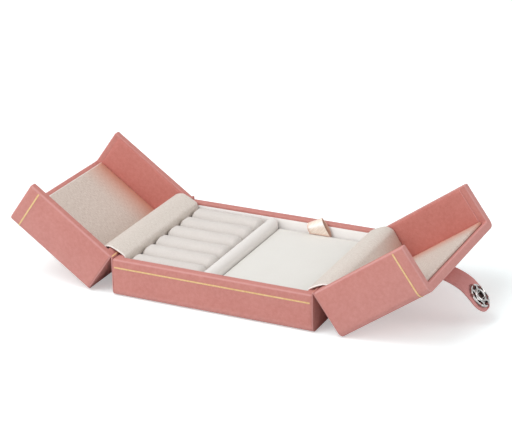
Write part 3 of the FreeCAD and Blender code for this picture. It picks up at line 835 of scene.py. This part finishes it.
def dividerBar():
    b, points = bar, []
    stations = endStations(-b["halfY"], b["halfY"], b["ends"], b["step"])
    for y in stations:
        inset = b["endRound"] * (1 - endRise(b["halfY"] - abs(y), b["endRound"])) * b["endDraw"]
        half, top = b["width"] / 2 - inset, b["top"] - inset
        walls = spaced(b["bottom"], top - half, b["wallStep"])
        ring = [(-half, z) for z in walls]
        for i in range(1, b["turns"]):
            a = pi - pi * i / b["turns"]
            ring.append((half * cos(a), top - half + half * sin(a)))
        ring += [(half, z) for z in reversed(walls)]
        ring += [(between(half, -half, i / b["floorParts"]), b["bottom"]) for i in range(1, b["floorParts"])]
        points += [(b["centre"] + x, y, z) for x, z in ring]
    piece = makePiece("dividerBar", points, tubeFaces(len(ring), len(stations)), barVelvet, sharp=softAngle)
    inflate(piece, lambda p: p.z < b["glued"], *b["puff"])
    settle(piece, "base", "ivory_velvet", "divider_bar")


def liftOutPad():
    points, faces, _ = softBox(pad["low"], pad["high"], pad["round"], pad["step"])
    piece = makePiece("padCushion", points, faces, padVelvet, sharp=softAngle)
    inflate(piece, lambda p: p.z < pad["glued"], *pad["puff"])
    settle(piece, "pad", "ivory_velvet", "pad_cushion", "pad_board")


def compartmentCloth():
    low, high = compartment["low"], compartment["high"]
    points, faces, uv = softBox(low, high, compartment["round"], compartment["step"])
    piece = makePiece("compartmentCloth", points, faces, ivoryVelvet, uv=uv, sharp=softAngle,
                      ripple=compartment["ripple"])
    settle(piece, "base", "ivory_velvet", "compartment_cloth")


velvetRolls()
rollBed()
dividerBar()
liftOutPad()
compartmentCloth()
print("rolls, bar and pad made")


# ribbon; pairs run from its left edge to its right
# some keys place a painted highlight band below the fold, and painted shade with pink bounce light on the
# back layer, the fold, the left edge and the foot
ribbon = {"thick": 0.2, "width": 10.8, "uvWidth": 11.0, "strands": 16, "low": 8.0, "backY": 35.08,
          "backFoot": (14.1, 25.2), "backBow": 1.9, "backSag": 0.25, "topX": (14.0, 20.8),
          "topZ": (16.7, 20.5), "bendGap": (2.0, 0.7), "bendRise": (0.9, 0.4), "frontFoot": (15.2, 25.3),
          "frontY": 33.3, "frontZ": 12.75, "frontCurve": 1.4, "bow": 0.9, "bowPeak": 0.7,
          "paintedGleamAt": 0.25, "paintedGleamReach": 0.2, "paintedGleamRise": 6, "foldBounceShade": 0.3, "footBounceShade": 0.8,
          "footFade": 6, "edgeFade": 9, "parts": (9, 11, 7, 12)}


def ribbonStrand(u):  # points from behind the pad, over the fold and down in front, with a painted highlight and painted shade with pink bounce light
    r, line = ribbon, []
    pairs = ("bendGap", "bendRise", "topX", "topZ", "backFoot", "frontFoot")
    gap, rise, tx, tz, bx, fx = (between(*r[label], u) for label in pairs)
    hidden, climb, bend, front = r["parts"]
    for i in range(hidden + 1):
        line.append((bx, r["backY"], between(r["low"], r["frontZ"], i / hidden), 0.0, 1.0))
    for t in [i / climb for i in range(1, climb + 1)]:
        line.append((between(bx, tx, t ** r["backBow"]), r["backY"] - r["backSag"] * sin(pi * t),
                     between(r["frontZ"], tz, t), 0.0, 1.0))
    for a in [pi * i / bend for i in range(1, bend)]:
        line.append((tx, r["backY"] - gap / 2 * (1 - cos(a)), tz + rise * sin(a), 0.0, r["foldBounceShade"]))
    for t in [i / front for i in range(front + 1)]:
        y = between(r["backY"] - gap, r["frontY"], t ** r["frontCurve"])
        y -= r["bow"] * sin(pi * t ** r["bowPeak"])
        # a painted highlight band across the front layer
        paintedGleam = max(0.0, 1 - abs(t - r["paintedGleamAt"]) / r["paintedGleamReach"]) * min(1.0, r["paintedGleamRise"] * u)
        atFoot = r["footBounceShade"] * (1 - r["footFade"] * (1 - t))
        paintedBounceShade = max(0.0, 1 - r["edgeFade"] * u, atFoot)  # painted shade at the left edge and the foot
        line.append((between(tx, fx, t), y, between(tz, r["frontZ"], t), paintedGleam, paintedBounceShade))
    return line


def pullRibbon():
    r = ribbon
    strands = [ribbonStrand(k / r["strands"]) for k in range(r["strands"] + 1)]
    grid = [[Vector(p[:3]) for p in line] for line in strands]
    rows, columns = len(grid), len(grid[0])
    points, uv, faces, area = [], [], [], 0.0
    for out in (r["thick"] / 2, -r["thick"] / 2):
        for k in range(rows):
            run = 0.0
            for i in range(columns):
                along = grid[k][min(i + 1, columns - 1)] - grid[k][max(i - 1, 0)]
                over = grid[min(k + 1, rows - 1)][i] - grid[max(k - 1, 0)][i]
                run += (grid[k][i] - grid[k][max(i - 1, 0)]).length
                points.append(tuple(grid[k][i] + over.cross(along).normalized() * out))
                uv.append((r["uvWidth"] * k / (rows - 1), run))
    size = rows * columns
    flat = sum(grid, [])
    for k in range(rows - 1):
        for i in range(columns - 1):
            quad = [k * columns + i, k * columns + i + 1, (k + 1) * columns + i + 1, (k + 1) * columns + i]
            faces += [quad, [size + q for q in reversed(quad)]]
            a, b, c, d = (flat[q] for q in quad)
            area += ((b - a).cross(c - a).length + (c - a).cross(d - a).length) / 2
    rim = list(range(columns)) + [k * columns + columns - 1 for k in range(1, rows)]
    rim += [(rows - 1) * columns + i for i in range(columns - 2, -1, -1)]
    rim += [k * columns for k in range(rows - 2, 0, -1)]
    faces += [(b, a, size + a, size + b) for a, b in zip(rim, rim[1:] + rim[:1])]
    paintedGleam, paintedBounceShade = ([p[c] for line in strands for p in line] * 2 for c in (3, 4))
    piece = makePiece("ribbonPullTab", points, faces, satinRibbon, {"paintedGleam": paintedGleam, "paintedBounceShade": paintedBounceShade}, uv)
    settle(piece, "pad", "satin_ribbon", "ribbon_pull_tab")


pullRibbon()
print("ribbon made")


# closing strap and snap
strap = {"thick": 1.15, "edge": 0.5, "halfWidth": 7.0, "tipHalf": 1.2, "across": 12, "rootStart": 19.9,
         "rootShort": 1.0, "rootStep": 0.8, "rootGap": 0.02, "bend": (36.6, 23.55),
         "middleHeading": 44.0, "middleCurl": 24.0, "middleLength": 12.3, "kneeTurn": 9.0, "endCurl": 12.0,
         "endLength": 13.7, "snapAt": 7.0, "step": 0.3, "soften": 10, "wearAndSheen": 0.3, "bendReach": (1.6, 1.8),
         "kneeReach": (1.8, 1.8), "parts": (24, 40)}
snap = {"slots": 6, "reach": 4.15, "slotWidth": 1.7, "slotLength": 3.7, "slotDepth": 3.0, "turns": 72,
        "sharp": 40, "socketGap": 0.03, "studGap": 0.1, "studFromEnd": 6.352, "socketTop": 1.0,
        "studTop": 0.42}
sewing = {"strands": 2, "thread": 0.12, "spread": 0.11, "stray": 0.03, "seed": 5}
spring = {"leg": 1.5, "legHalf": 1.2, "legBow": 0.14, "loop": 2.03, "loopFrom": -36, "loopTurn": -108,
          "parts": 12, "height": 0.95, "wire": 0.2, "sides": 8}


def strapArc(start, heading, curl, length, parts):
    radius, first = length / radians(curl), radians(heading)
    out = []
    for i in range(parts + 1):
        h = first + radians(curl) * i / parts
        out.append((start[0] + radius * (sin(h) - sin(first)), start[1] - radius * (cos(h) - cos(first))))
    return out


def strapLine():  # root, middle and end in the right lid's frame, and the heading after the knee
    t = strap
    down = lid["depth"] + t["thick"] / 2 + t["rootGap"]
    root = [(s, down) for s in spaced(t["rootStart"], t["bend"][0] - t["rootShort"], t["rootStep"])]
    middle = strapArc(t["bend"], t["middleHeading"], t["middleCurl"], t["middleLength"], t["parts"][0])
    leaving = t["middleHeading"] + t["middleCurl"] + t["kneeTurn"]
    end = strapArc(middle[-1], leaving, t["endCurl"], t["endLength"], t["parts"][1])
    return root, middle, end, leaving


def closingStrap():
    t = strap
    root, middle, end, _ = strapLine()
    flat = eased(evened(root + middle[2:] + end[1:], t["step"]), t["soften"])
    runs = runsOf(flat)
    line = [lidPoint(*p) for p in flat]
    kneeRun = runs[-1] - t["endLength"]
    bendRun = kneeRun - t["middleLength"]
    halves = []
    for run in runs:  # round at the tip
        past = max(0.0, run - kneeRun - t["snapAt"])
        halves.append(max(t["tipHalf"], sqrt(max(0.0, t["halfWidth"] ** 2 - past ** 2))))
    path = stripPath(line, 1, halves)

    def nearest(run):
        return min(range(len(path)), key=lambda i: abs(runs[i] - run))

    def worldAt(run):
        x, z = line[nearest(run)]
        return x * mm, 0.0, z * mm
    cutAt = nearest(kneeRun - t["middleLength"] / 2)

    def strapPiece(name, part, run, reach, bodies, *nodes):
        points, faces, uv, cut = sweepStrip(part, t["thick"], t["edge"], t["across"])
        # paler strap edges: rubbed wear, partly a painted sheen highlight
        piece = makePiece(name, points, faces, paintedLightStrapSuede, {"wearAndSheen": [t["wearAndSheen"] * c for c in cut]}, uv)
        settle(piece, None, "pink_suede", *nodes)
        worldAt(run - reach[0])
        worldAt(run + reach[1])
        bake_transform(piece)
    strapPiece("strapUpper", path[:cutAt + 1], bendRun, t["bendReach"], ("right_lid", "strap"),
               "strap_root", "strap_middle")
    strapPiece("strapLower", path[cutAt:], kneeRun, t["kneeReach"], ("strap", "strap_tip"), "strap_end")


def seatOf(point, outwards):  # turns a disc drawn standing on X and Y onto its seat
    across = Vector((0, 1, 0))
    turn = Matrix((across.cross(outwards), across, outwards)).transposed().to_4x4()
    return Matrix.Translation(Vector(point) * mm) @ turn


def ringOf(radius, sides):
    return [(radius * cos(2 * pi * i / sides), radius * sin(2 * pi * i / sides)) for i in range(sides)]


def turnedPiece(name, profile, finish, turns=48, hollow=False):  # profile of radius and height
    points = [(x, y, z) for r, z in profile for x, y in ringOf(r, turns)]
    faces = bridge(turns, len(profile), True) if hollow else tubeFaces(turns, len(profile))
    return makePiece(name, points, faces, finish, sharp=snap["sharp"])


def tubeAlong(line, radius, sides=6):  # a round wire through points in three dimensions
    points = []
    for i, here in enumerate(line):
        along = (Vector(line[min(i + 1, len(line) - 1)]) - Vector(line[max(i - 1, 0)])).normalized()
        helper = Vector((0, 0, 1)) if abs(along.z) < 0.8 else Vector((0, 1, 0))
        u = along.cross(helper).normalized()
        v = u.cross(along)
        points += [tuple(Vector(here) + u * x + v * y) for x, y in ringOf(radius, sides)]
    return points, tubeFaces(sides, len(line))


def slotTree():  # punches oval holes set round a circle
    tree, given = namedTree("sewingSlots", Count=6, Reach=0.004, Width=0.001, Length=0.002, Depth=0.004)
    ring = addNode(tree, "GeometryNodeMeshCircle", {"Vertices": given["Count"], "Radius": given["Reach"]})
    index = addNode(tree, "GeometryNodeInputIndex").outputs[0]
    angle = times(tree, index, maths(tree, "DIVIDE", 2 * pi, given["Count"]))
    size = vectorOf(tree, X=given["Width"], Y=given["Length"], Z=given["Depth"])
    punch = addNode(tree, "GeometryNodeMeshCylinder", {"Vertices": 20, "Radius": 0.5, "Depth": 1.0})
    punches = copiesOf(tree, ring, punch.outputs[0], Rotation=vectorOf(tree, Z=angle), Scale=size)
    solids = {0: given["Geometry"], 1: addNode(tree, "GeometryNodeRealizeInstances", {0: punches}).outputs[0]}
    cut = addNode(tree, "GeometryNodeMeshBoolean", solids, operation="DIFFERENCE", solver="EXACT")
    return closeTree(tree, cut.outputs[0], given["Finish"])


def threadTree():  # a few strands fanned out at each slot
    tree, given = namedTree("sewingThreads", Slots=6, Strands=3, Spread=0.16, Seed=5)
    total = times(tree, given["Slots"], given["Strands"])
    row = addNode(tree, "GeometryNodeMeshLine", {"Count": total, "Offset": (0, 0, 0)})
    index = addNode(tree, "GeometryNodeInputIndex").outputs[0]
    slot = maths(tree, "FLOOR", maths(tree, "DIVIDE", index, given["Strands"]))
    strand = maths(tree, "MODULO", index, given["Strands"])
    middle = times(tree, maths(tree, "SUBTRACT", given["Strands"], 1.0), 0.5)
    fan = times(tree, maths(tree, "SUBTRACT", strand, middle), given["Spread"])
    limits = {2: -sewing["stray"], 3: sewing["stray"], "Seed": given["Seed"]}
    stray = addNode(tree, "FunctionNodeRandomValue", limits)
    angle = plus(tree, times(tree, slot, maths(tree, "DIVIDE", 2 * pi, given["Slots"])), fan)
    turn = vectorOf(tree, Z=plus(tree, angle, stray.outputs[1]))
    return closeTree(tree, copiesOf(tree, row, given["Geometry"], Rotation=turn), given["Finish"])


def seated(piece, seat, body, slot, *nodes):
    piece.data.transform(seat)
    settle(piece, body, slot, *nodes)


def slotted(piece, seat, body, node):
    sizes = {"Reach": "reach", "Width": "slotWidth", "Length": "slotLength", "Depth": "slotDepth"}
    values = {label: snap[size] * mm for label, size in sizes.items()}
    grown(piece, slotTree(), Count=snap["slots"], Finish=snapMetal, **values)
    piece.data.set_sharp_from_angle(angle=radians(snap["sharp"]))
    seated(piece, seat, body, "snap_metal", node)


def sewnThreads(name, top, seat, body):
    line = [(4.1, 0, -0.1), (4.15, 0, 0.35), (4.5, 0, top * 0.9), (5.2, 0, top + 0.12), (5.75, 0, top * 0.8),
            (6.0, 0, top * 0.4), (6.15, 0, 0.0), (6.2, 0, -0.2)]
    piece = makePiece(name, *tubeAlong(line, sewing["thread"]), sewingThread, sharp=softAngle)
    grown(piece, threadTree(), Slots=snap["slots"], Strands=sewing["strands"], Spread=sewing["spread"],
          Seed=sewing["seed"], Finish=sewingThread)
    seated(piece, seat, body, "pink_suede")


def springWire():  # two legs run on either side of the stud, joined round the bore
    s, leg, loop = spring, [], []
    for i in range(-s["parts"], s["parts"] + 1):
        t = i / s["parts"]
        leg.append((s["leg"] + s["legBow"] * t ** 2, -t * s["legHalf"], s["height"]))
    for i in range(1, s["parts"]):
        a = radians(s["loopFrom"] + s["loopTurn"] * i / s["parts"])
        loop.append((s["loop"] * cos(a), s["loop"] * sin(a), s["height"]))
    return leg + loop + [(-x, y, z) for x, y, z in reversed(leg)]


def snapSocket():
    t = strap
    _, middle, _, leaving = strapLine()
    curl = t["endCurl"] * t["snapAt"] / t["endLength"]
    x, z = lidPoint(*strapArc(middle[-1], leaving, curl, t["snapAt"], t["parts"][1])[-1])
    turn = radians(leaving + curl) - fold["tilt"]
    outwards = Vector((sin(turn), 0, cos(turn)))
    seat = seatOf(Vector((x, 0, z)) + outwards * (t["thick"] / 2 + snap["socketGap"]), outwards)
    # a thin cap, open underneath and through its bore
    cap = [(5.5, 0.14), (5.62, 0.0), (5.68, 0.12), (5.7, 0.4), (5.66, 0.75), (5.5, 0.95), (5.25, 1.02),
           (5.02, 0.97), (4.9, 0.85), (4.82, 0.8), (3.5, 0.8), (3.32, 0.86), (3.22, 1.0), (3.18, 1.25),
           (3.02, 1.45), (2.75, 1.52), (2.45, 1.46), (2.25, 1.25), (2.2, 0.9), (2.2, 0.5), (2.35, 0.48),
           (2.5, 0.6), (4.6, 0.6), (5.2, 0.55)]
    # a dark disc under the cap: painted shade inside the hollow cap
    disc = [(0.02, -0.02), (5.1, -0.02), (5.15, 0.05), (5.1, 0.12), (0.02, 0.12)]
    slotted(turnedPiece("snapSocket", cap, snapMetal, snap["turns"], True), seat, "strap_tip", "snap_socket")
    seated(turnedPiece("snapPaintedShade", disc, snapPaintedShade), seat, "strap_tip", "snap_metal")
    bent = tubeAlong(springWire(), spring["wire"], spring["sides"])
    wire = makePiece("snapSpring", *bent, snapMetal, sharp=softAngle)
    seated(wire, seat, "strap_tip", "snap_metal", "snap_spring")
    sewnThreads("socketThreads", snap["socketTop"], seat, "strap_tip")


def snapStud():
    place, along = lidPlace(-1), lid["length"] - snap["studFromEnd"]
    outwards = Vector(place(along, 0, lid["depth"] + 1)) - Vector(place(along, 0, lid["depth"]))
    seat = seatOf(place(along, 0, lid["depth"] + snap["studGap"]), outwards.normalized())
    knob = [(0.02, 0.0), (5.5, 0.0), (5.66, 0.1), (5.7, 0.22), (5.62, 0.36), (5.4, 0.42), (4.9, 0.4),
            (1.9, 0.4), (1.35, 0.5), (1.08, 0.75), (1.02, 1.0), (1.12, 1.15), (1.26, 1.28), (1.24, 1.4),
            (1.0, 1.5), (0.02, 1.52)]
    slotted(turnedPiece("snapStud", knob, snapMetal, snap["turns"]), seat, "left_lid", "snap_stud")
    sewnThreads("studThreads", snap["studTop"], seat, "left_lid")


closingStrap()
snapSocket()
snapStud()
print("strap and snap made")


# solids that stay, with better finishes
kept = {"base_gold_line": goldFoil, "left_lid_gold_line": goldFoil, "right_lid_gold_line": goldFoil,
        "base_bottom_sheet": footPaper, "pad_front_ledge": whiteLining, "pad_back_ledge": whiteLining}
for keptNode, keptFinish in kept.items():
    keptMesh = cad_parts[keptNode].data
    keptMesh.materials.clear()
    keptMesh.materials.append(keptFinish)
print("kept solids finished")


# floor, light and camera, in metres
studio = {"floorHalf": 6, "floorTones": ((0.82, 0.91, 0.92, 1), (0.84, 0.92, 0.93, 1)), "floorGlow": 0.36,
          "world": 0.49}
lamps = {"keyLamp": {"place": (-0.36, -0.38, 0.98), "aim": (0, 0, 0.02), "size": 0.7, "power": 5.9},
         "fillLamp": {"place": (-0.5, -0.95, 0.5), "aim": (0, 0, 0.02), "size": 0.8, "power": 3.8},
         "sideLamp": {"place": (0.95, 0.25, 0.4), "aim": (0.08, 0, 0.01), "size": 0.6, "power": 2.4}}
camera = {"azimuth": 25.895, "elevation": 22.234, "distance": 0.8174, "lens": 128.03, "roll": -0.956,
          "target": (0.003547, 0.0, 0.028593), "sensor": 36.0, "clip": (0.05, 50.0)}


def studioFloor():
    mesh, h = bpy.data.meshes.new("floor"), studio["floorHalf"]
    mesh.from_pydata([(-h, -h, 0), (h, -h, 0), (h, h, 0), (-h, h, 0)], [], [(0, 1, 2, 3)])
    floor = bpy.data.objects.new("floor", mesh)
    scene.collection.objects.link(floor)
    finish, tree, shader = newFinish("studioFloor", Roughness=0.9, Specular_IOR_Level=0.1,
                                     Emission_Color=(1, 1, 1, 1))
    first, second = studio["floorTones"]
    shade = layered(tree, first, (second, grain(tree, coordsOf(tree), 3, 1.0), 1.0))
    tree.links.new(shade, shader.inputs["Base Color"])
    rays = addNode(tree, "ShaderNodeLightPath")  # the sweep looks white, and still takes the shadow
    glow = times(tree, rays.outputs["Is Camera Ray"], studio["floorGlow"])
    tree.links.new(glow, shader.inputs["Emission Strength"])
    mesh.materials.append(finish)


def studioWorld():
    world = bpy.data.worlds.new("studio")
    world.use_nodes = True
    tree = world.node_tree
    tree.nodes.clear()
    rays = addNode(tree, "ShaderNodeLightPath").outputs
    seen = plus(tree, plus(tree, rays["Is Camera Ray"], rays["Is Glossy Ray"]), rays["Is Transmission Ray"])
    strength = addNode(tree, "ShaderNodeMapRange", {"Value": seen, "To Min": studio["world"], "To Max": 1.0})
    light = addNode(tree, "ShaderNodeBackground", {"Color": (1, 1, 1, 1), "Strength": strength.outputs[0]})
    addNode(tree, "ShaderNodeOutputWorld", {"Surface": light.outputs[0]})
    scene.world = world


def studioLamps():
    for name, lamp in lamps.items():
        data = bpy.data.lights.new(name, "AREA")
        data.shape, data.size, data.energy = "SQUARE", lamp["size"], lamp["power"]
        light = bpy.data.objects.new(name, data)
        light.location = lamp["place"]
        towards = Vector(lamp["aim"]) - Vector(lamp["place"])
        light.rotation_euler = towards.to_track_quat("-Z", "Y").to_euler()
        scene.collection.objects.link(light)


def photoCamera():
    az, el, tilt = (radians(camera[label]) for label in ("azimuth", "elevation", "roll"))
    back = Vector((sin(az) * cos(el), -cos(az) * cos(el), sin(el)))
    right = Vector((cos(az), sin(az), 0))
    up = back.cross(right)
    right, up = right * cos(tilt) + up * sin(tilt), up * cos(tilt) - right * sin(tilt)
    data = bpy.data.cameras.new("photoCamera")
    data.lens, data.sensor_width = camera["lens"], camera["sensor"]
    data.clip_start, data.clip_end = camera["clip"]
    eye = bpy.data.objects.new("photoCamera", data)
    turn = Matrix((right, up, back)).transposed().to_4x4()
    eye.matrix_world = Matrix.Translation(Vector(camera["target"]) + back * camera["distance"]) @ turn
    scene.collection.objects.link(eye)
    scene.camera = eye


studioFloor()
studioWorld()
studioLamps()
photoCamera()
scene.view_settings.view_transform = "Standard"
print("studio ready")
